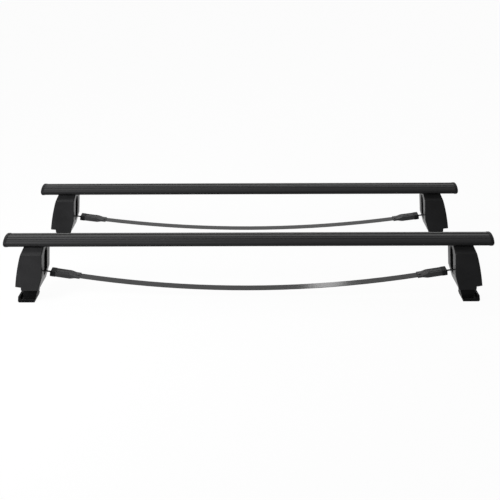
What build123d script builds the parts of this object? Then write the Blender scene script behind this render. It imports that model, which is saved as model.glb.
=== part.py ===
from build123d import *
import math
import os

# Vehicle roof rack: two crossbars on clamping feet. A steel strap under each bar ties its two feet.
# The strap's end rods pull on the claws, which swing out and up under the vehicle's side rails.
# Millimetres. X runs along the bars, Y from the front bar to the rear bar, Z up.
# The origin is on the standing surface, midway between the bars and between their ends.
# Foot sizes marked u are measured outwards along X from the axis of that foot's claw pin.

# Whole rack
BAR_LENGTH = 1180.0  # over both end caps
BAR_SPACING = 420.0  # front bar to rear bar, centre to centre
BAR_UNDERSIDE = 144.0  # flat underside of the bar above the standing surface
END_OVERHANG = 54.0  # from the axis of each claw pin to the bar's end

# Bar section, across Y and up from the flat underside
BAR_WIDTH = 66.0
BAR_HEIGHT = 24.0
NOSE_HEIGHT = 10.0  # the widest line of the section
BELLY_DEPTH = 2.5  # how much of the lower curve the flat underside cuts off
BAR_WALL = 2.4
GROOVE_OFFSETS = (15.0, 22.5)  # grooves on either side of the top slot
GROOVE_WIDTH = 3.0
GROOVE_DEPTH = 1.2
CHAMBER_START = 13.5  # inner side of each hollow chamber, from the middle
REBATE_WIDTH = 22.0  # top slot, from the top downwards
REBATE_DEPTH = 2.4
TOP_MOUTH = 13.0
TOP_LIP = 2.4
TOP_CAVITY_WIDTH = 20.0
TOP_CAVITY_HEIGHT = 5.0
FOOT_MOUTH = 8.8  # slot in the underside for the foot bolts
FOOT_LIP = 2.6
FOOT_CAVITY_WIDTH = 16.4
FOOT_CAVITY_HEIGHT = 5.2

# Rubber strip in the top slot
STRIP_CLEARANCE = 0.15
STRIP_CHANNEL_WIDTH = 7.0
STRIP_CHANNEL_DEPTH = 1.6
STRIP_FOOT_HEIGHT = 2.2

# End caps
CAP_THICKNESS = 8.0
CAP_PROUD = 0.8  # cap outline beyond the bar section
CAP_ROUNDING = 3.4
CAP_TONGUE = 16.0
CAP_CLEARANCE = 0.3

# Foot cover, a hollow moulding open at the bottom and slotted on its inner side
COVER_WALL = 3.0
COVER_BOTTOM = 40.0
COVER_TOP_INNER = -42.0  # u
COVER_TOP_OUTER = 7.0  # u
COVER_KNEE_INNER = -36.0  # u of the bend in the inner wall
COVER_KNEE_HEIGHT = 73.0
COVER_BOTTOM_INNER = -25.0  # u
COVER_BULGE = 2.4  # of the outer wall beyond a straight line
LIP_ROOT = 17.0  # u, where the lip over the side rail starts
LIP_REACH = 32.0  # u
LIP_HEIGHT = 48.0
COVER_TOP_DEPTH = 48.0  # across Y under the bar
COVER_DEPTH = 98.0  # across Y at the shoulder
COVER_BOTTOM_DEPTH = 93.0
SHOULDER_DROP = 11.0  # shoulder line below the bar
WING_START = 12.0  # u, where the outer edges begin to fall back
WING_SETBACK = 7.0  # in Y, at the lip's reach
COVER_ROUNDING = 2.5
SLOT_WIDTH = 36.0
SLOT_BOTTOM = 62.0
SLOT_TOP_DROP = 9.0  # top of the slot below the bar

# Foot bracket, a folded channel inside the cover
BRACKET_SHEET = 4.0
BRACKET_INSIDE = 36.0  # between the cheeks
BRACKET_INNER = -33.0  # u of the top plate's inner edge
BRACKET_OUTER = 2.0  # u of the top plate's outer edge
BRACKET_SHOULDER = 12.0  # depth of the cheeks' straight upper part
BRACKET_EYE = 10.5  # radius of the cheek round the claw pin

# Foot bolts and nuts
BOLT_DIAMETER = 6.0
BOLT_HOLE = 6.8
BOLT_PITCH = 20.0
BOLT_CENTRE = -16.0  # u, midway between the two bolts
BOLT_HEAD_WIDTH = 12.6
BOLT_HEAD_HEIGHT = 4.2
BOLT_TAIL = 2.0  # thread past the nut
NUT_FLATS = 10.0
NUT_HEIGHT = 5.0
NUT_FLANGE = 14.0
NUT_FLANGE_HEIGHT = 1.5

# Claw, a cast lever with a hook below its pin and a fork above it
PIVOT_HEIGHT = 48.0
PIN_DIAMETER = 8.0
PIN_CLEARANCE = 0.05
PIN_HEAD_DIAMETER = 12.0
PIN_HEAD_HEIGHT = 2.4
SOLE_WIDTH = 54.0  # of the hook's sole and lip, across Y
CLAW_SIDE_PLAY = 0.5  # between the claw's body and each cheek
CLAW_EYE = 11.5  # radius of the body round the pin
CLAW_HEEL = -8.0  # u at the standing surface
CLAW_NECK = -18.0  # u where the hook's back meets the body
CLAW_SHOULDER_HEIGHT = 37.0
CLAW_SHOULDER_OUTER = 10.0  # u
HOOK_REACH = 33.0  # u
HOOK_LIP_TOP = 16.0
HOOK_LIP_THICKNESS = 4.5
HOOK_LIP_LEAN = 2.0  # the lip's top leans inwards by this much
POCKET_WIDTH = 6.5
POCKET_FLOOR = 8.0  # also the sole's thickness
THROAT_TOP = 33.0
CLAW_ROUNDING = 3.0
ARM_EYE = 8.0  # radius of the arm round the pin
FORK_WIDTH = 20.0
FORK_THICKNESS = 6.0
FORK_RISE = 12.0  # above the rod
FORK_DROP = 11.0  # below the rod
FORK_SLOT = 5.4
FORK_SLOT_DROP = 7.0
FORK_TILT = 8.4  # degrees, the mean slope of the rods

# Rail pad under the cover's lip
PAD_THICKNESS = 3.0
PAD_DEPTH = 72.0
PAD_MARGIN = 1.0

# Strap: a steel band with a sleeve, a ferrule and an end rod at each end
STRAP_SAG = {"front": 33.5, "rear": 27.5}  # of the band between its sleeves
BAND_END_GAP = 121.0  # along X, from the end of the band's arc to the claw pin's axis
BAND_WIDTH = 28.0
BAND_THICKNESS = 1.2
BAND_TAIL = 18.0  # straight end held in the sleeve
SLEEVE_WIDTH = 30.0
SLEEVE_THICKNESS = 12.0
SLEEVE_NECK_THICKNESS = 4.6
SLEEVE_NECK = 12.0
SLEEVE_TAPER = 14.0
SLEEVE_LENGTH = 60.0
SLEEVE_ROUNDING = 2.0
FLUTE_DEPTH = 0.8
FLUTE_WIDTH = 4.0
FLUTE_OFFSET = 7.5
FERRULE_LENGTH = 13.0
FERRULE_PROUD = 0.6
RIVET_DIAMETER = 4.0
RIVET_HEAD_DIAMETER = 8.0
RIVET_HEAD_HEIGHT = 1.6
ROD_DIAMETER = 4.0
ROD_CLEARANCE = 0.3
ROD_IN_SLEEVE = 20.0
ROD_TRAVEL = 8.0  # spare depth in the sleeve's bore
ROD_TAIL = 11.0  # past the barrel nut's axis
BARREL_DIAMETER = 9.0
BARREL_LENGTH = 18.0
BARREL_CENTRE = -14.0  # u
BARREL_HEIGHT = 77.0
BARREL_GAP = 0.3  # between the barrel nut and the fork
THREAD_CLEARANCE = 0.05

PIVOT_X = BAR_LENGTH / 2 - END_OVERHANG
BAND_HALF_SPAN = PIVOT_X - BAND_END_GAP
CAP_FACE = BAR_LENGTH / 2 - CAP_THICKNESS
COVER_RUN_OUT = COVER_BOTTOM - 4 * COVER_WALL
PLATE_TOP = BAR_UNDERSIDE - COVER_WALL
PLATE_BOTTOM = PLATE_TOP - BRACKET_SHEET
BOLT_POSITIONS = (BOLT_CENTRE - BOLT_PITCH / 2, BOLT_CENTRE + BOLT_PITCH / 2)
FAR = 400.0  # larger than any foot, for trimming


def across(face, depth):
    """A foot sketch in u and height, given a depth across Y with half on each side."""
    side_view = Plane(origin=(PIVOT_X, 0, 0), x_dir=(1, 0, 0), z_dir=(0, -1, 0))
    return extrude(side_view * face, amount=depth / 2, both=True)


def pin_across(u, height, radius, depth):
    """A cylinder across Y through a point of the foot."""
    return across(Pos(u, height) * Circle(radius), depth)


def upright(u, bottom, radius, height):
    """An upright cylinder in the middle of the foot's depth."""
    standing = (Align.CENTER, Align.CENTER, Align.MIN)
    return Pos(PIVOT_X + u, 0, bottom) * Cylinder(radius, height, align=standing)


# Bar

def bar_outline(inset):
    """The bar's section drawn in by an inset: two half ellipses over a flat underside."""
    half_width = BAR_WIDTH / 2 - inset
    nose = Pos(0, NOSE_HEIGHT)
    upper = nose * Ellipse(half_width, BAR_HEIGHT - NOSE_HEIGHT - inset)
    lower = nose * Ellipse(half_width, NOSE_HEIGHT + BELLY_DEPTH - inset)
    above = Pos(0, NOSE_HEIGHT + FAR / 2) * Rectangle(FAR, FAR)
    below = Pos(0, (NOSE_HEIGHT + inset) / 2) * Rectangle(FAR, NOSE_HEIGHT - inset)
    return (upper & above) + (lower & below)


def chamber_outline(clearance):
    """The two hollow chambers of the section, or the cap tongues that fill them."""
    core = Rectangle(2 * (CHAMBER_START + clearance), FAR)
    return bar_outline(BAR_WALL + clearance) - core


def top_slot_outline(clearance, cavity_height):
    """The slot's rebate, mouth and cavity; with a clearance, the strip that fits them."""
    rebate_floor = BAR_HEIGHT - REBATE_DEPTH
    cavity_top = rebate_floor - TOP_LIP - clearance
    rebate = Pos(0, rebate_floor + FAR / 2) * Rectangle(REBATE_WIDTH - 2 * clearance, FAR)
    mouth_height = BAR_HEIGHT - cavity_top
    mouth = Pos(0, cavity_top + mouth_height / 2) * Rectangle(TOP_MOUTH - 2 * clearance, mouth_height)
    cavity_width = TOP_CAVITY_WIDTH - 2 * clearance
    cavity = Pos(0, cavity_top - cavity_height / 2) * Rectangle(cavity_width, cavity_height)
    return rebate + mouth + cavity


def foot_slot_outline():
    """The slot in the underside that takes the heads of the foot bolts."""
    mouth = Pos(0, FOOT_LIP / 2) * Rectangle(FOOT_MOUTH, FOOT_LIP)
    cavity_middle = FOOT_LIP + FOOT_CAVITY_HEIGHT / 2
    cavity = Pos(0, cavity_middle) * Rectangle(FOOT_CAVITY_WIDTH, FOOT_CAVITY_HEIGHT)
    return mouth + cavity


def along_bar(face, start, length):
    """A bar sketch extruded along the bar from a given X."""
    section = Pos(start, 0, BAR_UNDERSIDE) * (Plane.YZ * face)
    return extrude(section, amount=length)


def make_bar():
    section = bar_outline(0) - chamber_outline(0) - foot_slot_outline()
    section -= top_slot_outline(0, TOP_CAVITY_HEIGHT)
    crown = BAR_HEIGHT - NOSE_HEIGHT
    for offset_from_middle in GROOVE_OFFSETS:
        across_share = 2 * offset_from_middle / BAR_WIDTH
        rise_share = math.sqrt(1 - across_share**2)
        fall = math.degrees(math.atan(2 * crown / BAR_WIDTH * across_share / rise_share))
        groove = Pos(0, crown / 2 - GROOVE_DEPTH) * Rectangle(GROOVE_WIDTH, crown)
        for side in (-1, 1):
            surface = Pos(side * offset_from_middle, NOSE_HEIGHT + crown * rise_share)
            section -= surface * Rot(0, 0, -side * fall) * groove
    return along_bar(section, -CAP_FACE, 2 * CAP_FACE)


def make_strip():
    section = top_slot_outline(STRIP_CLEARANCE, STRIP_FOOT_HEIGHT) & bar_outline(0)
    channel = Pos(0, BAR_HEIGHT) * Rectangle(STRIP_CHANNEL_WIDTH, 2 * STRIP_CHANNEL_DEPTH)
    return along_bar(section - channel, -CAP_FACE, 2 * CAP_FACE)


def make_end_cap():
    """The right-hand cap: a rounded plate with two tongues in the bar's chambers."""
    plate = along_bar(bar_outline(-CAP_PROUD), CAP_FACE, CAP_THICKNESS)
    plate = fillet(plate.faces().sort_by(Axis.X)[-1].edges(), CAP_ROUNDING)
    tongues = along_bar(chamber_outline(CAP_CLEARANCE), CAP_FACE, -CAP_TONGUE)
    return plate + tongues


# Foot cover

def cover_front_outline():
    """The cover seen from the front, in u and height, carried on below its open bottom."""
    outer_foot = Vector(LIP_REACH, LIP_HEIGHT)
    outer_top = Vector(COVER_TOP_OUTER, BAR_UNDERSIDE)
    chord = outer_top - outer_foot
    bulge = outer_foot + chord / 2 + Vector(chord.Y, -chord.X).normalized() * COVER_BULGE
    inner_slope = (COVER_BOTTOM_INNER - COVER_KNEE_INNER) / (COVER_KNEE_HEIGHT - COVER_BOTTOM)
    inner_run_out = COVER_KNEE_INNER + inner_slope * (COVER_KNEE_HEIGHT - COVER_RUN_OUT)
    corners = [
        outer_top,
        (COVER_TOP_INNER, BAR_UNDERSIDE),
        (COVER_KNEE_INNER, COVER_KNEE_HEIGHT),
        (inner_run_out, COVER_RUN_OUT),
        (LIP_ROOT, COVER_RUN_OUT),
        (LIP_ROOT, LIP_HEIGHT),
        outer_foot,
    ]
    return make_face([Polyline(*corners), ThreePointArc(outer_foot, bulge, outer_top)])


def cover_side_outline():
    """The cover seen along the bar, in y and height."""
    shoulder = BAR_UNDERSIDE - SHOULDER_DROP
    half = [
        (COVER_TOP_DEPTH / 2, BAR_UNDERSIDE),
        (COVER_DEPTH / 2, shoulder),
        (COVER_BOTTOM_DEPTH / 2, COVER_RUN_OUT),
    ]
    mirrored = [(-y, height) for y, height in reversed(half)]
    return make_face(Polyline(*half, *mirrored, close=True))


def cover_plan_outline():
    """The cover seen from above, in u and y: its outer corners fall back towards the lip."""
    half = COVER_DEPTH / 2
    fall = WING_SETBACK / (LIP_REACH - WING_START)
    back = half - fall * (2 * LIP_REACH - WING_START)
    wing = [(-FAR, half), (WING_START, half), (2 * LIP_REACH, back)]
    mirrored = [(u, -y) for u, y in reversed(wing)]
    return make_face(Polyline(*wing, *mirrored, close=True))


def cover_form(inset):
    """The cover's outer body, or with an inset the hollow inside it."""
    outlines = [cover_front_outline(), cover_side_outline(), cover_plan_outline()]
    if inset:
        outlines = [offset(outline, -inset, kind=Kind.INTERSECTION) for outline in outlines]
    front, side, plan = outlines
    body = across(front, FAR)
    body &= extrude(Pos(PIVOT_X, 0, 0) * (Plane.YZ * side), amount=FAR / 2, both=True)
    return body & extrude(Pos(PIVOT_X, 0, 0) * plan, amount=FAR)


def cover_corners(body):
    """The cover's upright corners and shoulder lines, without the lip's corners and the rims."""
    shoulder = BAR_UNDERSIDE - SHOULDER_DROP
    chosen = []
    for edge in body.edges():
        low, high = sorted((edge @ 0, edge @ 1), key=lambda point: point.Z)
        u = low.X - PIVOT_X
        if high.Z - low.Z < 0.01:
            wanted = abs(low.Z - shoulder) < 0.01
        else:
            wanted = u < LIP_ROOT - 0.01 or u > LIP_REACH - 0.01
        if wanted:
            chosen.append(edge)
    return chosen


def make_cover():
    body = cover_form(0) & across(Pos(0, COVER_BOTTOM + FAR / 2) * Rectangle(FAR, FAR), FAR)
    body = fillet(cover_corners(body), COVER_ROUNDING)
    hollow = cover_form(COVER_WALL)
    beyond_root = Pos(LIP_ROOT - COVER_WALL + FAR / 2, 0) * Rectangle(FAR, 2 * (LIP_HEIGHT + COVER_WALL))
    body -= hollow - across(beyond_root, FAR)
    slot_top = BAR_UNDERSIDE - SLOT_TOP_DROP
    slot = Pos(0, (SLOT_BOTTOM + slot_top) / 2) * SlotOverall(slot_top - SLOT_BOTTOM, SLOT_WIDTH, 90)
    inner_side = Pos(PIVOT_X + COVER_TOP_INNER - COVER_WALL, 0, 0)
    slot_depth = COVER_BOTTOM_INNER - COVER_TOP_INNER
    body -= extrude(inner_side * (Plane.YZ * slot), amount=slot_depth)
    for u in BOLT_POSITIONS:
        body -= upright(u, PLATE_TOP - COVER_WALL, BOLT_HOLE / 2, 3 * COVER_WALL)
    return body


# Foot bracket and its fasteners

def make_bracket():
    """A folded channel: a plate under the bar and two cheeks that carry the claw pin."""
    outside = BRACKET_INSIDE + 2 * BRACKET_SHEET
    plate_width = BRACKET_OUTER - BRACKET_INNER
    plate_middle = (BRACKET_OUTER + BRACKET_INNER) / 2
    shoulder = Rectangle(plate_width, BRACKET_SHOULDER)
    shoulder = Pos(plate_middle, PLATE_TOP - BRACKET_SHOULDER / 2) * shoulder
    eye = Pos(0, PIVOT_HEIGHT) * Circle(BRACKET_EYE)
    cheek = make_hull(shoulder.edges() + eye.edges())
    inside = Pos(0, PLATE_BOTTOM - FAR / 2) * Rectangle(FAR, FAR)
    body = across(cheek, outside) - across(inside, BRACKET_INSIDE)
    body -= pin_across(0, PIVOT_HEIGHT, PIN_DIAMETER / 2 + PIN_CLEARANCE, FAR)
    for u in BOLT_POSITIONS:
        body -= upright(u, PLATE_BOTTOM - BRACKET_SHEET, BOLT_HOLE / 2, 3 * BRACKET_SHEET)
    return body


def make_bolts():
    """Two square-headed bolts hanging in the bar's lower slot."""
    head_bottom = BAR_UNDERSIDE + FOOT_LIP
    tail = PLATE_BOTTOM - NUT_HEIGHT - BOLT_TAIL
    bolts = []
    for u in BOLT_POSITIONS:
        shank = upright(u, tail, BOLT_DIAMETER / 2, head_bottom - tail)
        seat = Pos(PIVOT_X + u, 0, head_bottom + BOLT_HEAD_HEIGHT / 2)
        head = seat * Box(BOLT_HEAD_WIDTH, BOLT_HEAD_WIDTH, BOLT_HEAD_HEIGHT)
        bolts.append(shank + head)
    return bolts


def make_nuts():
    """Two flanged hexagon nuts under the bracket's plate."""
    bore = BOLT_DIAMETER / 2 + THREAD_CLEARANCE
    hexagon = RegularPolygon(NUT_FLATS / 2, 6, major_radius=False)
    nuts = []
    for u in BOLT_POSITIONS:
        flange = upright(u, PLATE_BOTTOM - NUT_FLANGE_HEIGHT, NUT_FLANGE / 2, NUT_FLANGE_HEIGHT)
        seat = Pos(PIVOT_X + u, 0, PLATE_BOTTOM - NUT_HEIGHT)
        nut = flange + extrude(seat * hexagon, amount=NUT_HEIGHT)
        nuts.append(nut - upright(u, PLATE_BOTTOM - FAR / 2, bore, FAR))
    return nuts


# Claw and its pin

def make_claw():
    """A hook below the pin, a body between the cheeks and a forked arm that the rod pulls."""
    lip_inner = HOOK_REACH - HOOK_LIP_LEAN - HOOK_LIP_THICKNESS
    throat = lip_inner - POCKET_WIDTH
    back_slope = (CLAW_NECK - CLAW_HEEL) / CLAW_SHOULDER_HEIGHT
    heel_top = CLAW_HEEL + back_slope * POCKET_FLOOR
    sole_corners = [
        (CLAW_HEEL, 0),
        (HOOK_REACH - CLAW_ROUNDING, 0),
        (HOOK_REACH, CLAW_ROUNDING),
        (HOOK_REACH - HOOK_LIP_LEAN, HOOK_LIP_TOP),
        (lip_inner, HOOK_LIP_TOP),
        (lip_inner, POCKET_FLOOR),
        (heel_top, POCKET_FLOOR),
    ]
    neck_corners = [
        (heel_top, POCKET_FLOOR),
        (throat, POCKET_FLOOR),
        (throat, THROAT_TOP),
        (CLAW_SHOULDER_OUTER, CLAW_SHOULDER_HEIGHT),
        (CLAW_NECK, CLAW_SHOULDER_HEIGHT),
    ]
    body_width = BRACKET_INSIDE - 2 * CLAW_SIDE_PLAY
    hook = across(make_face(Polyline(*sole_corners, close=True)), SOLE_WIDTH)
    hook += across(make_face(Polyline(*neck_corners, close=True)), body_width)
    neck = Line((CLAW_NECK, CLAW_SHOULDER_HEIGHT), (heel_top, POCKET_FLOOR))
    front = Line((CLAW_SHOULDER_OUTER, POCKET_FLOOR), (CLAW_SHOULDER_OUTER, CLAW_SHOULDER_HEIGHT))
    eye = Pos(0, PIVOT_HEIGHT) * Circle(CLAW_EYE)
    body = across(make_hull(eye.edges() + ShapeList([neck, front])), body_width)
    fork_middle = -BARREL_DIAMETER / 2 - BARREL_GAP - FORK_THICKNESS / 2
    fork_place = Pos(BARREL_CENTRE, BARREL_HEIGHT) * Rot(0, 0, FORK_TILT)
    fork = Rectangle(FORK_THICKNESS, FORK_RISE + FORK_DROP)
    fork = fork_place * Pos(fork_middle, (FORK_RISE - FORK_DROP) / 2) * fork
    arm_end = fork_place * Pos(fork_middle, -FORK_DROP) * Rectangle(FORK_THICKNESS, FORK_THICKNESS / 3)
    arm_eye = Pos(0, PIVOT_HEIGHT) * Circle(ARM_EYE)
    arm = make_hull(arm_end.edges() + arm_eye.edges())
    slot = Rectangle(3 * FORK_THICKNESS, FAR)
    slot = fork_place * Pos(fork_middle, FAR / 2 - FORK_SLOT_DROP) * slot
    claw = hook + body + across(arm, FORK_WIDTH) + across(fork, FORK_WIDTH) - across(slot, FORK_SLOT)
    return claw - pin_across(0, PIVOT_HEIGHT, PIN_DIAMETER / 2 + PIN_CLEARANCE, FAR)


def make_pin():
    """A pin through both cheeks, with a rivet head on each side."""
    outside = BRACKET_INSIDE + 2 * BRACKET_SHEET
    heads = pin_across(0, PIVOT_HEIGHT, PIN_HEAD_DIAMETER / 2, outside + 2 * PIN_HEAD_HEIGHT)
    heads -= pin_across(0, PIVOT_HEIGHT, PIN_HEAD_DIAMETER, outside)
    return heads + pin_across(0, PIVOT_HEIGHT, PIN_DIAMETER / 2, outside + PIN_HEAD_HEIGHT)


def make_rail_pad():
    width = LIP_REACH - LIP_ROOT - 2 * PAD_MARGIN
    middle = Pos((LIP_REACH + LIP_ROOT) / 2, LIP_HEIGHT - PAD_THICKNESS / 2)
    return across(middle * Rectangle(width, PAD_THICKNESS), PAD_DEPTH)


# Strap

class StrapLine:
    """The right half of a strap's centre line: an arc, then a straight line through the barrel nut."""

    def __init__(self, sag):
        self.radius = (BAND_HALF_SPAN**2 + sag**2) / (2 * sag)
        self.slope = math.asin(BAND_HALF_SPAN / self.radius)
        run = PIVOT_X + BARREL_CENTRE - BAND_HALF_SPAN
        self.end_height = BARREL_HEIGHT - run * math.tan(self.slope)
        self.arc_centre = self.end_height - sag + self.radius
        self.barrel = run / math.cos(self.slope)  # along the straight part
        self.outwards = Vector(math.cos(self.slope), 0, math.sin(self.slope))
        self.start = Vector(BAND_HALF_SPAN, 0, self.end_height)

    def side_plane(self):
        """Sketch plane in the strap's side view: x along the straight part, y above it."""
        return Plane(origin=self.start, x_dir=self.outwards, z_dir=(0, -1, 0))

    def cross_plane(self, distance):
        """Sketch plane square to the straight part: x across the strap, y above the line."""
        return Plane(origin=self.start + self.outwards * distance, x_dir=(0, 1, 0), z_dir=self.outwards)

    def rod(self, start, end, radius):
        """A cylinder along the straight part."""
        return extrude(self.cross_plane(start) * Circle(radius), amount=end - start)

    def stud(self, distance, low, high, radius):
        """A cylinder square to the strap's flat, between two levels above the line."""
        seat = self.side_plane() * Pos(distance, (low + high) / 2) * Rot(90, 0, 0)
        return seat * Cylinder(radius, high - low)


def make_band(line):
    """The flat band: one long arc with a straight tail at each end, pierced for the rivets."""
    ends = []
    for radius in (line.radius - BAND_THICKNESS / 2, line.radius + BAND_THICKNESS / 2):
        low = Vector(0, line.arc_centre - radius)
        end = Vector(radius * math.sin(line.slope), line.arc_centre - radius * math.cos(line.slope))
        tail = end + Vector(math.cos(line.slope), math.sin(line.slope)) * BAND_TAIL
        ends.append((low, end, tail))
    (top_low, top_end, top_tail), (under_low, under_end, under_tail) = ends
    tails = Polyline(top_end, top_tail, under_tail, under_end)
    top_arc = ThreePointArc(top_end, top_low, (-top_end.X, top_end.Y))
    under_arc = ThreePointArc(under_end, under_low, (-under_end.X, under_end.Y))
    outline = make_face([tails, mirror(tails, about=Plane.YZ), top_arc, under_arc])
    band = extrude(Plane.XZ * outline, amount=BAND_WIDTH / 2, both=True)
    for hole in both_sides(make_rivet_shank(line)):
        band -= hole
    return band


def make_sleeve(line):
    """The right-hand sleeve: a thin neck on the band, swelling to a block that takes the rod."""
    neck = SLEEVE_NECK_THICKNESS / 2
    block = SLEEVE_THICKNESS / 2
    block_start = SLEEVE_NECK + SLEEVE_TAPER
    upper = [(0, neck), (SLEEVE_NECK, neck), (block_start, block), (SLEEVE_LENGTH, block)]
    lower = [(distance, -height) for distance, height in reversed(upper)]
    profile = line.side_plane() * make_face(Polyline(*upper, *lower, close=True))
    sleeve = extrude(profile, amount=SLEEVE_WIDTH / 2, both=True)
    plan = RectangleRounded(SLEEVE_WIDTH, SLEEVE_THICKNESS, SLEEVE_ROUNDING)
    sleeve &= extrude(line.cross_plane(0) * plan, amount=SLEEVE_LENGTH)
    for side in (-1, 1):
        flute = Pos(side * FLUTE_OFFSET, block) * Rectangle(FLUTE_WIDTH, 2 * FLUTE_DEPTH)
        sleeve -= extrude(line.cross_plane(block_start) * flute, amount=SLEEVE_LENGTH)
    tail = Pos(BAND_TAIL / 2, 0) * Rectangle(BAND_TAIL, BAND_THICKNESS)
    sleeve -= extrude(line.side_plane() * tail, amount=BAND_WIDTH / 2, both=True)
    bore_end = SLEEVE_LENGTH - ROD_IN_SLEEVE - ROD_TRAVEL
    sleeve -= line.rod(bore_end, SLEEVE_LENGTH, ROD_DIAMETER / 2 + ROD_CLEARANCE)
    return sleeve - make_rivet_shank(line)


def make_ferrule(line):
    """The right-hand ferrule, a black collar on the sleeve's outer end."""
    width = SLEEVE_WIDTH + 2 * FERRULE_PROUD
    height = SLEEVE_THICKNESS + 2 * FERRULE_PROUD
    outline = RectangleRounded(width, height, SLEEVE_ROUNDING + FERRULE_PROUD)
    collar = extrude(line.cross_plane(SLEEVE_LENGTH) * outline, amount=FERRULE_LENGTH)
    collar = fillet(collar.faces().sort_by(Axis.X)[-1].edges(), SLEEVE_ROUNDING)
    return collar - line.rod(0, SLEEVE_LENGTH + 2 * FERRULE_LENGTH, ROD_DIAMETER / 2 + ROD_CLEARANCE)


def make_rivet_shank(line):
    half = SLEEVE_NECK_THICKNESS / 2
    return line.stud(SLEEVE_NECK / 2, -half, half, RIVET_DIAMETER / 2)


def make_rivet(line):
    """The right-hand rivet, headed above and below the sleeve's neck."""
    half = SLEEVE_NECK_THICKNESS / 2
    outer = half + RIVET_HEAD_HEIGHT
    heads = [(half, outer), (-outer, -half)]
    rivet = make_rivet_shank(line)
    for low, high in heads:
        rivet += line.stud(SLEEVE_NECK / 2, low, high, RIVET_HEAD_DIAMETER / 2)
    return rivet


def make_rod(line):
    """The right-hand tension rod, from the sleeve's bore through the claw's fork."""
    return line.rod(SLEEVE_LENGTH - ROD_IN_SLEEVE, line.barrel + ROD_TAIL, ROD_DIAMETER / 2)


def make_barrel(line):
    """The right-hand barrel nut, on the rod behind the claw's fork."""
    barrel = pin_across(BARREL_CENTRE, BARREL_HEIGHT, BARREL_DIAMETER / 2, BARREL_LENGTH)
    bore = ROD_DIAMETER / 2 + THREAD_CLEARANCE
    return barrel - line.rod(line.barrel - BARREL_DIAMETER, line.barrel + BARREL_DIAMETER, bore)


# Placing and writing

def both_sides(shape):
    """A right-hand shape and its left-hand mirror image."""
    return [shape, mirror(shape, about=Plane.YZ)]


def write(name, shapes, y):
    """One STEP file for one sub-part, moved to its bar."""
    solids = [solid for shape in shapes for solid in (Pos(0, y, 0) * shape).solids()]
    body = solids[0] if len(solids) == 1 else Compound(children=solids)
    body.label = name
    export_step(body, os.path.join("parts", name + ".step"))


def main():
    os.makedirs("parts", exist_ok=True)
    bar = make_bar()
    strip = make_strip()
    same_on_all_feet = {
        "end_cap": [make_end_cap()],
        "foot_cover": [make_cover()],
        "foot_bracket": [make_bracket()],
        "foot_bolts": make_bolts(),
        "foot_nuts": make_nuts(),
        "claw": [make_claw()],
        "claw_pin": [make_pin()],
        "rail_pad": [make_rail_pad()],
    }
    for end, y in (("front", -BAR_SPACING / 2), ("rear", BAR_SPACING / 2)):
        line = StrapLine(STRAP_SAG[end])
        handed = {
            **same_on_all_feet,
            "strap_sleeve": [make_sleeve(line)],
            "strap_ferrule": [make_ferrule(line)],
            "tension_rod": [make_rod(line)],
            "barrel_nut": [make_barrel(line)],
        }
        write(end + "_bar", [bar], y)
        write(end + "_bar_strip", [strip], y)
        write(end + "_strap_band", [make_band(line)], y)
        write(end + "_strap_rivets", both_sides(make_rivet(line)), y)
        for name, shapes in handed.items():
            pairs = [both_sides(shape) for shape in shapes]
            write(end + "_right_" + name, [right for right, left in pairs], y)
            write(end + "_left_" + name, [left for right, left in pairs], y)


main()
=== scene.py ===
import math
from collections import namedtuple

import bpy
from mathutils import Matrix, Vector


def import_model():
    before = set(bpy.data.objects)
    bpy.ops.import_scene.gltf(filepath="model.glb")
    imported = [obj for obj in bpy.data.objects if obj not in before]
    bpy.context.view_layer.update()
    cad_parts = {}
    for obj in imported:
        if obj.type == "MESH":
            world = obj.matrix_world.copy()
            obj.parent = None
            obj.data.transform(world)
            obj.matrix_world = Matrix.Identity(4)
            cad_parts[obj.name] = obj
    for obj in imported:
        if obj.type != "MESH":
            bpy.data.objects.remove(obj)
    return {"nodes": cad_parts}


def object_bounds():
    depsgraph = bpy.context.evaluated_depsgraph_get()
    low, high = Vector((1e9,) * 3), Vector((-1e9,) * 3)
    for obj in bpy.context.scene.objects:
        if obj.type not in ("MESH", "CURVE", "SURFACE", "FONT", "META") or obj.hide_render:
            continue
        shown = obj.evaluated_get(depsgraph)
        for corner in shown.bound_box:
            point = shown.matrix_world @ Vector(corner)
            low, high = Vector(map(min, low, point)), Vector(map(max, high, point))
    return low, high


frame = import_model()
cad_lo, cad_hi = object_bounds()
nodes = frame["nodes"]


# Materials

NOISE_RANGE = (0.3, 0.7)       # nearly all of a noise texture's values lie here
EDGE_RANGE = (0.999, 0.75)     # bevelled normal on true normal: from a flat face to an edge
EDGE_WEAR = 0.55               # share of the worn tone right on an edge
EDGE_SAMPLES = 4
HOLLOW_RANGE = (0.8, 0.985)    # ambient occlusion: from a hollow to an open face
HOLLOW_SAMPLES = 8
UPWARD_RANGE = (0.2, 0.9)      # the normal's height: from the bar's nose to its top

# Lengths in metres; a noise's scale is in waves per metre, before its stretch.
Noise = namedtuple("Noise", "scale detail roughness stretch", defaults=[(1, 1, 1)])
Tone = namedtuple("Tone", "noise dark pale low high", defaults=NOISE_RANGE)
Wear = namedtuple("Wear", "tone reach", defaults=[0.0016])
Rough = namedtuple("Rough", "noise low high")
Dull = namedtuple("Dull", "reach extra")
Relief = namedtuple("Relief", "noise strength depth")


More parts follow.
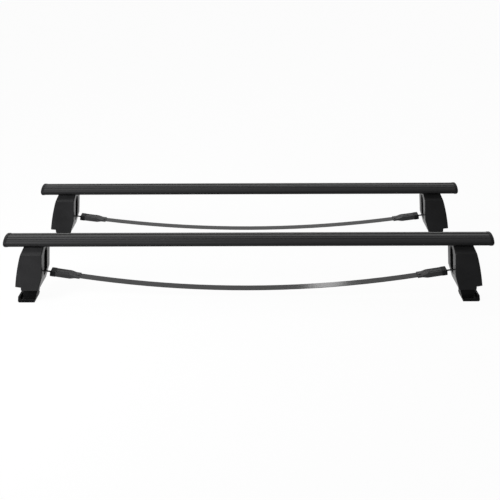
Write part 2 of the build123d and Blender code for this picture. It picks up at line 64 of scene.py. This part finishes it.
class Shader:
    """One material's node tree, with the nodes that several finishes share."""

    def __init__(self, name):
        self.material = bpy.data.materials.new(name)
        self.material.use_nodes = True
        self.tree = self.material.node_tree
        self.tree.nodes.clear()
        out = self.tree.nodes.new("ShaderNodeOutputMaterial")
        self.bsdf = self.tree.nodes.new("ShaderNodeBsdfPrincipled")
        self.link(self.bsdf.outputs["BSDF"], out, "Surface")
        self.coords = self.tree.nodes.new("ShaderNodeTexCoord")

    def link(self, output, target, socket):
        self.tree.links.new(output, target.inputs[socket])

    def set(self, **values):
        for socket, value in values.items():
            self.bsdf.inputs[socket.replace("_", " ")].default_value = value

    def math(self, operation, first, second):
        node = self.tree.nodes.new("ShaderNodeMath")
        node.operation = operation
        self.link(first, node, 0)
        self.link(second, node, 1)
        return node.outputs["Value"]

    def remap(self, output, source, target):
        node = self.tree.nodes.new("ShaderNodeMapRange")
        node.inputs["From Min"].default_value, node.inputs["From Max"].default_value = source
        node.inputs["To Min"].default_value, node.inputs["To Max"].default_value = target
        self.link(output, node, "Value")
        return node.outputs["Result"]

    def noise(self, noise):
        """Noise in object coordinates, stretched for brushed or drawn surfaces."""
        mapping = self.tree.nodes.new("ShaderNodeMapping")
        mapping.inputs["Scale"].default_value = noise.stretch
        self.link(self.coords.outputs["Object"], mapping, "Vector")
        node = self.tree.nodes.new("ShaderNodeTexNoise")
        node.inputs["Scale"].default_value = noise.scale
        node.inputs["Detail"].default_value = noise.detail
        node.inputs["Roughness"].default_value = noise.roughness
        self.link(mapping.outputs["Vector"], node, "Vector")
        return node.outputs["Fac"]

    def toned(self, noise, tone):
        node = self.tree.nodes.new("ShaderNodeValToRGB")
        dark, pale = node.color_ramp.elements
        dark.position, dark.color = tone.low, (*tone.dark, 1)
        pale.position, pale.color = tone.high, (*tone.pale, 1)
        self.link(noise, node, "Fac")
        return node.outputs["Color"]

    def bump(self, noise, relief):
        node = self.tree.nodes.new("ShaderNodeBump")
        node.inputs["Strength"].default_value = relief.strength
        node.inputs["Distance"].default_value = relief.depth
        self.link(noise, node, "Height")
        return node.outputs["Normal"]

    def worn_edges(self, base, wear):
        """Mixes a paler tone over the base where an edge is close."""
        bevel = self.tree.nodes.new("ShaderNodeBevel")
        bevel.samples = EDGE_SAMPLES
        bevel.inputs["Radius"].default_value = wear.reach
        geometry = self.tree.nodes.new("ShaderNodeNewGeometry")
        dot = self.tree.nodes.new("ShaderNodeVectorMath")
        dot.operation = "DOT_PRODUCT"
        self.link(bevel.outputs["Normal"], dot, 0)
        self.link(geometry.outputs["Normal"], dot, 1)
        edge = self.remap(dot.outputs["Value"], EDGE_RANGE, (0.0, EDGE_WEAR))
        mix = self.tree.nodes.new("ShaderNodeMixRGB")
        mix.inputs["Color2"].default_value = (*wear.tone, 1)
        self.link(edge, mix, "Fac")
        self.link(base, mix, "Color1")
        return mix.outputs["Color"]

    def dulled(self, rough, dull):
        """A roughness with some more added in hollows and on faces that look down."""
        hollow = self.tree.nodes.new("ShaderNodeAmbientOcclusion")
        hollow.samples = HOLLOW_SAMPLES
        hollow.only_local = True
        hollow.inputs["Distance"].default_value = dull.reach
        open_face = self.remap(hollow.outputs["AO"], HOLLOW_RANGE, (0.0, 1.0))
        axes = self.tree.nodes.new("ShaderNodeSeparateXYZ")
        self.link(self.coords.outputs["Normal"], axes, "Vector")
        upward = self.remap(axes.outputs["Z"], UPWARD_RANGE, (0.0, 1.0))
        clear = self.math("MULTIPLY", open_face, upward)
        return self.math("ADD", rough, self.remap(clear, (0.0, 1.0), (dull.extra, 0.0)))


def grey(tone, blue=None):
    return (tone, tone, tone if blue is None else blue)


def finish(name, noises, tone, rough, relief, wear=None, dull=None, **constants):
    """A material whose colour, roughness and relief come from the named noises."""
    shader = Shader(name)
    made = {label: shader.noise(noise) for label, noise in noises.items()}
    colour = shader.toned(made[tone.noise], tone)
    if wear:
        colour = shader.worn_edges(colour, wear)
    shader.link(colour, shader.bsdf, "Base Color")
    roughness = shader.remap(made[rough.noise], NOISE_RANGE, (rough.low, rough.high))
    if dull:
        roughness = shader.dulled(roughness, dull)
    shader.link(roughness, shader.bsdf, "Roughness")
    shader.link(shader.bump(made[relief.noise], relief), shader.bsdf, "Normal")
    shader.set(**constants)
    return shader.material


# Black anodised extrusion: fine drawn lines along the bar, satin on top, duller in its grooves.
bar_aluminium = finish(
    "bar_aluminium",
    {"lines": Noise(260, 4, 0.6, (0.012, 1, 1)), "cloud": Noise(6, 3, 0.5, (0.35, 1, 1))},
    Tone("lines", grey(0.006, 0.0064), grey(0.013, 0.0138)),
    Rough("cloud", 0.32, 0.42),
    Relief("lines", 0.12, 0.0004),
    Wear(grey(0.06, 0.063)),
    Dull(reach=0.006, extra=0.5),
    Metallic=0.0, IOR=1.5, Specular_IOR_Level=0.2)

# Injection-moulded black plastic, satin, with a faint flow pattern and very fine orange peel.
gloss_black = finish(
    "gloss_black",
    {"flow": Noise(14, 4, 0.55), "peel": Noise(420, 2, 0.5)},
    Tone("flow", grey(0.012, 0.0125), grey(0.019, 0.0197)),
    Rough("flow", 0.24, 0.32),
    Relief("peel", 0.05, 0.0003),
    Wear(grey(0.045, 0.046)),
    IOR=1.48, Specular_IOR_Level=0.05)

# Textured black moulding of the end caps and the ferrules.
black_plastic = finish(
    "black_plastic",
    {"grain": Noise(900, 3, 0.6)},
    Tone("grain", grey(0.005, 0.0055), grey(0.011, 0.012), 0.35, 0.65),
    Rough("grain", 0.4, 0.55),
    Relief("grain", 0.25, 0.0004),
    Wear(grey(0.03, 0.031)),
    IOR=1.47, Specular_IOR_Level=0.08)

# Black rubber with a fine grain along its length, pale where it is seen along its face.
rubber = finish(
    "rubber",
    {"grain": Noise(700, 4, 0.65, (0.15, 1, 1)), "dust": Noise(22, 4, 0.6)},
    Tone("dust", grey(0.006), grey(0.013, 0.0128), 0.3, 0.75),
    Rough("grain", 0.48, 0.6),
    Relief("grain", 0.3, 0.0005),
    IOR=1.5, Specular_IOR_Level=0.42)

# Rolled steel band with a thin dark grey coat, and rolling lines along its length.
band_steel = finish(
    "band_steel",
    {"lines": Noise(340, 4, 0.6, (0.01, 1, 1)), "cloud": Noise(9, 4, 0.55, (0.4, 1, 1))},
    Tone("lines", grey(0.016, 0.0164), grey(0.028, 0.0288)),
    Rough("cloud", 0.08, 0.13),
    Relief("lines", 0.15, 0.0003),
    Wear(grey(0.08), 0.0008),
    Metallic=0.0, IOR=1.5, Specular_IOR_Level=0.09)

# Bright zinc plate with a fine spangle.
zinc_steel = finish(
    "zinc_steel",
    {"spangle": Noise(380, 3, 0.5)},
    Tone("spangle", grey(0.5, 0.49), grey(0.68, 0.66)),
    Rough("spangle", 0.22, 0.36),
    Relief("spangle", 0.08, 0.0002),
    Metallic=1.0)

# Blackened steel of the rivets, pins and tension rods.
dark_steel = finish(
    "dark_steel",
    {"grain": Noise(500, 3, 0.55)},
    Tone("grain", grey(0.03, 0.032), grey(0.06, 0.062)),
    Rough("grain", 0.3, 0.45),
    Relief("grain", 0.1, 0.0003),
    Wear(grey(0.2), 0.0006),
    Metallic=0.8)

# Folded sheet with a black electro-coat.
coated_steel = finish(
    "coated_steel",
    {"grain": Noise(240, 4, 0.6)},
    Tone("grain", grey(0.01, 0.011), grey(0.02, 0.021)),
    Rough("grain", 0.38, 0.5),
    Relief("grain", 0.15, 0.0004),
    Wear(grey(0.12), 0.001),
    IOR=1.5)

# Black powder-coated casting, pebbled, paler along its edges.
claw_alloy = finish(
    "claw_alloy",
    {"pebble": Noise(650, 3, 0.55), "cloud": Noise(30, 4, 0.6)},
    Tone("cloud", grey(0.0026, 0.0028), grey(0.0055, 0.0058)),
    Rough("pebble", 0.42, 0.6),
    Relief("pebble", 0.35, 0.0006),
    Wear(grey(0.06), 0.0012),
    IOR=1.48, Specular_IOR_Level=0.05)

# Dark grey moulded nylon of the strap sleeves, with a spark-eroded grain.
grey_plastic = finish(
    "grey_plastic",
    {"grain": Noise(800, 3, 0.6), "cloud": Noise(26, 3, 0.5)},
    Tone("cloud", grey(0.018, 0.019), grey(0.03, 0.031)),
    Rough("grain", 0.36, 0.5),
    Relief("grain", 0.25, 0.0004),
    Wear(grey(0.12), 0.0009),
    IOR=1.5, Specular_IOR_Level=0.16)

FINISH = {
    "bar": bar_aluminium,
    "bar_strip": rubber,
    "rail_pad": rubber,
    "strap_band": band_steel,
    "strap_sleeve": grey_plastic,
    "strap_ferrule": black_plastic,
    "end_cap": black_plastic,
    "strap_rivets": dark_steel,
    "claw_pin": dark_steel,
    "tension_rod": dark_steel,
    "foot_cover": gloss_black,
    "foot_bracket": coated_steel,
    "foot_bolts": zinc_steel,
    "foot_nuts": zinc_steel,
    "barrel_nut": zinc_steel,
    "claw": claw_alloy,
}
SIDES = ("left", "right")


def finish_of(name):
    """The finish for a node: the words of its name after front or rear and, if any, the side."""
    words = name.split("_")[1:]
    if words[0] in SIDES:
        words = words[1:]
    return FINISH["_".join(words)]


for name, node in nodes.items():
    node.data.materials.clear()
    node.data.materials.append(finish_of(name))


# Floor, world and lights

FLOOR_SIZE = 60.0
FLOOR_TONE = (0.85, 0.85, 0.85)
FLOOR_WHITE = 0.96             # the rest of the floor's tone is lit, and keeps the shadow
WHITE_RAYS = ("Is Camera Ray", "Is Glossy Ray", "Is Transmission Ray")
WHITE = (1, 1, 1, 1)
WHITE_STRENGTH = 1.0
AMBIENT = 0.32
OBJECT_MIDDLE = Vector((0, 0, 0.08))
LEFT_FEET = Vector((-0.7, -0.3, 0.0))
BAND_HIGHLIGHT = Vector((0.19, -0.21, 0.02))
FULL_SPREAD = math.pi
KEY_SPREAD = math.radians(75)


def seen_rays(tree):
    """1 for the rays that show the background, 0 for those that only carry light."""
    path = tree.nodes.new("ShaderNodeLightPath")
    seen = path.outputs[WHITE_RAYS[0]]
    for ray in WHITE_RAYS[1:]:
        either = tree.nodes.new("ShaderNodeMath")
        either.operation = "MAXIMUM"
        tree.links.new(seen, either.inputs[0])
        tree.links.new(path.outputs[ray], either.inputs[1])
        seen = either.outputs[0]
    return seen


def glowing(tree, kind, strength):
    node = tree.nodes.new(kind)
    node.inputs["Color"].default_value = WHITE
    node.inputs["Strength"].default_value = strength
    return node


def white_where_seen(tree, kind, plain, white, share):
    """Mixes white into the plain shader, by that share of the rays that show the background."""
    out = tree.nodes.new(kind)
    part = tree.nodes.new("ShaderNodeMath")
    part.operation = "MULTIPLY"
    part.inputs[1].default_value = share
    mix = tree.nodes.new("ShaderNodeMixShader")
    tree.links.new(seen_rays(tree), part.inputs[0])
    tree.links.new(part.outputs[0], mix.inputs["Fac"])
    tree.links.new(plain.outputs[0], mix.inputs[1])
    tree.links.new(white.outputs[0], mix.inputs[2])
    tree.links.new(mix.outputs[0], out.inputs["Surface"])


def floor():
    bpy.ops.mesh.primitive_plane_add(size=FLOOR_SIZE, location=(0, 0, cad_lo.z))
    plane = bpy.context.object
    plane.name = "floor"
    material = bpy.data.materials.new("floor")
    material.use_nodes = True
    tree = material.node_tree
    tree.nodes.clear()
    paper = tree.nodes.new("ShaderNodeBsdfDiffuse")
    paper.inputs["Color"].default_value = (*FLOOR_TONE, 1)
    white = glowing(tree, "ShaderNodeEmission", WHITE_STRENGTH)
    white_where_seen(tree, "ShaderNodeOutputMaterial", paper, white, FLOOR_WHITE)
    plane.data.materials.append(material)


def world():
    studio = bpy.data.worlds.new("studio")
    bpy.context.scene.world = studio
    studio.use_nodes = True
    tree = studio.node_tree
    tree.nodes.clear()
    soft = glowing(tree, "ShaderNodeBackground", AMBIENT)
    white = glowing(tree, "ShaderNodeBackground", WHITE_STRENGTH)
    white_where_seen(tree, "ShaderNodeOutputWorld", soft, white, 1.0)


def softbox(name, place, power, width, height, target, spread=FULL_SPREAD):
    data = bpy.data.lights.new(name, "AREA")
    data.shape = "RECTANGLE"
    data.size, data.size_y = width, height
    data.energy = power
    data.spread = spread
    lamp = bpy.data.objects.new(name, data)
    bpy.context.collection.objects.link(lamp)
    lamp.location = place
    lamp.rotation_euler = (target - Vector(place)).to_track_quat("-Z", "Y").to_euler()


floor()
world()
softbox("key_left", (-1.5, -1.5, 1.25), power=12, width=0.9, height=0.9,
        target=LEFT_FEET, spread=KEY_SPREAD)
softbox("upper_left", (-1.25, 0.95, 3.0), power=22, width=1.7, height=1.7,
        target=OBJECT_MIDDLE)
softbox("band_spot", (0.25, 2.6, 1.23), power=0.6, width=0.11, height=0.3,
        target=BAND_HIGHLIGHT)


# Camera, fitted to the photograph

CAMERA_PLACE = Vector((0.016444, -2.297870, 0.919659))
CAMERA_YAW = -0.006
CAMERA_PITCH = 0.363
CAMERA_ROLL = -0.005
FOCAL_SHARE = 914.763 / 500.0  # focal length over the image's width, both in pixels
SENSOR = 36.0
CLIP_NEAR, CLIP_FAR = 0.01, 100


def camera():
    data = bpy.data.cameras.new("camera")
    data.sensor_fit = "HORIZONTAL"
    data.sensor_width = SENSOR
    data.lens = FOCAL_SHARE * SENSOR
    data.clip_start, data.clip_end = CLIP_NEAR, CLIP_FAR
    viewer = bpy.data.objects.new("camera", data)
    bpy.context.collection.objects.link(viewer)
    ahead = Vector((math.sin(CAMERA_YAW) * math.cos(CAMERA_PITCH),
                    math.cos(CAMERA_YAW) * math.cos(CAMERA_PITCH),
                    -math.sin(CAMERA_PITCH)))
    right = Vector((math.cos(CAMERA_YAW), -math.sin(CAMERA_YAW), 0))
    up = right.cross(ahead)
    turned_right = right * math.cos(CAMERA_ROLL) + up * math.sin(CAMERA_ROLL)
    turned_up = up * math.cos(CAMERA_ROLL) - right * math.sin(CAMERA_ROLL)
    turn = Matrix((turned_right, turned_up, -ahead)).transposed()
    viewer.matrix_world = Matrix.Translation(CAMERA_PLACE) @ turn.to_4x4()
    bpy.context.scene.camera = viewer


camera()
bpy.context.scene.view_settings.view_transform = "Standard"
